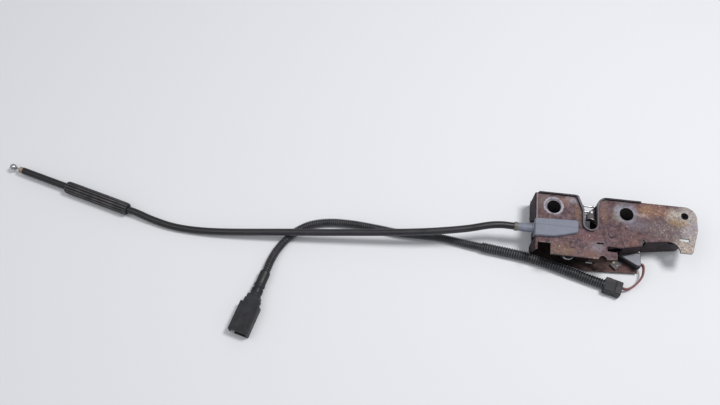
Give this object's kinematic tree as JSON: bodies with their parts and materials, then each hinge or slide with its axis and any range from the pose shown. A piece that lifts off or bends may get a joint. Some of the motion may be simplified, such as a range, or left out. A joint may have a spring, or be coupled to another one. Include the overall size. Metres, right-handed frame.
{
  "type": "bonnet latch",
  "caption": "Folded sheet bonnet latch with a sprung catch hook in a striker slot, released by a ball-ended pull cable, with a contact switch on a conduit lead.",
  "frame": {"origin": "midway between the two mounting holes, on the front face of the front plate", "axes": "+X along the row of mounting holes towards the tongue, +Y towards the mouth of the striker slot, +Z out of the front face"},
  "size_m": [0.6125, 0.1557, 0.031],
  "materials": {
    "rusted_sheet": "zinc-plated sheet gone to mottled rust",
    "dark_sheet": "dark rusted sheet",
    "bright_steel": "bright plated steel, lightly worn",
    "greased_steel": "dark greasy steel",
    "grey_plastic": "blue-grey moulded plastic, dusty",
    "pale_plastic": "pale grey moulded plastic",
    "black_plastic": "black moulded plastic, dusty",
    "black_rubber": "black rubber and cable sheath",
    "tan_brass": "dull brass",
    "red_brown_wire": "red-brown insulated wire"
  },
  "bodies": {
    "case": {"front_plate": "rusted_sheet", "hook_rivet": "rusted_sheet", "lever_rivet": "rusted_sheet", "rear_plate": "dark_sheet", "lever_spring": "bright_steel", "spring_post": "greased_steel", "cable_housing": "grey_plastic", "switch_cover": "pale_plastic", "switch_body": "black_plastic", "switch_clip": "black_plastic", "conduit_cap": "black_plastic", "wide_conduit": "black_plastic", "narrow_conduit": "black_plastic", "connector_boot": "black_plastic", "connector_housing": "black_plastic", "cable_sheath": "black_rubber", "ribbed_sleeve": "black_rubber", "conduit_clamp": "black_rubber", "nose_collar": "tan_brass", "cable_ferrule": "tan_brass", "connector_pins": "tan_brass", "lead_wire_a": "red_brown_wire", "lead_wire_b": "red_brown_wire"},
    "hook": {"catch_hook": "greased_steel", "hook_bush": "black_plastic", "hook_spring_pin": "bright_steel"},
    "lever": {"release_lever": "greased_steel", "lever_bush": "black_plastic"},
    "cable_wire": {"inner_wire": "bright_steel", "wire_nipple": "bright_steel"},
    "cable_ball": {"ball_end": "bright_steel"},
    "hook_spring_leg": {"hook_spring": "bright_steel"},
    "switch_leaf": {"switch_lever": "bright_steel"},
    "button": {"switch_button": "black_plastic"}
  },
  "joints": [
    {"name": "hook_turn", "type": "hinge", "parent": "case", "child": "hook", "pos_m": [0.018, -0.021, -0.006], "axis": [0, 0, -1], "range_deg": [0, 24], "stiffness_Nm_per_rad": 0.4, "springref_deg": -34.38},
    {"name": "lever_turn", "type": "hinge", "parent": "case", "child": "lever", "pos_m": [-0.0153, -0.0345, -0.007], "axis": [0, 0, 1], "range_deg": [0, 19.4], "deforming": ["lever_spring"]},
    {"name": "wire_slide", "type": "slide", "parent": "case", "child": "cable_wire", "axis": [-1, 0, 0], "range_m": [0, 0.00495]},
    {"name": "ball_slide", "type": "slide", "parent": "case", "child": "cable_ball", "axis": [-0.9682, 0.2501, 0], "range_m": [0, 0.00495]},
    {"name": "hook_spring_swing", "type": "hinge", "parent": "case", "child": "hook_spring_leg", "pos_m": [-0.014, 0.00725, -0.013], "axis": [0, 0, 1], "range_deg": [0, 9.1], "deforming": ["hook_spring"]},
    {"name": "switch_leaf_turn", "type": "hinge", "parent": "case", "child": "switch_leaf", "pos_m": [0.046, -0.027, -0.0195], "axis": [0, 0, 1], "range_deg": [0, 9.4]},
    {"name": "button_press", "type": "slide", "parent": "case", "child": "button", "axis": [0, -1, 0], "range_m": [0, 0.00101]}
  ],
  "couplings": [
    {"joint": "lever_turn", "follows": "hook_turn", "ratio": 0.808},
    {"joint": "wire_slide", "follows": "hook_turn", "m_per_rad": 0.01177},
    {"joint": "ball_slide", "follows": "hook_turn", "m_per_rad": 0.01177},
    {"joint": "hook_spring_swing", "follows": "hook_turn", "ratio": 0.375},
    {"joint": "switch_leaf_turn", "follows": "hook_turn", "ratio": 0.3875},
    {"joint": "button_press", "follows": "hook_turn", "m_per_rad": 0.00239}
  ]
}
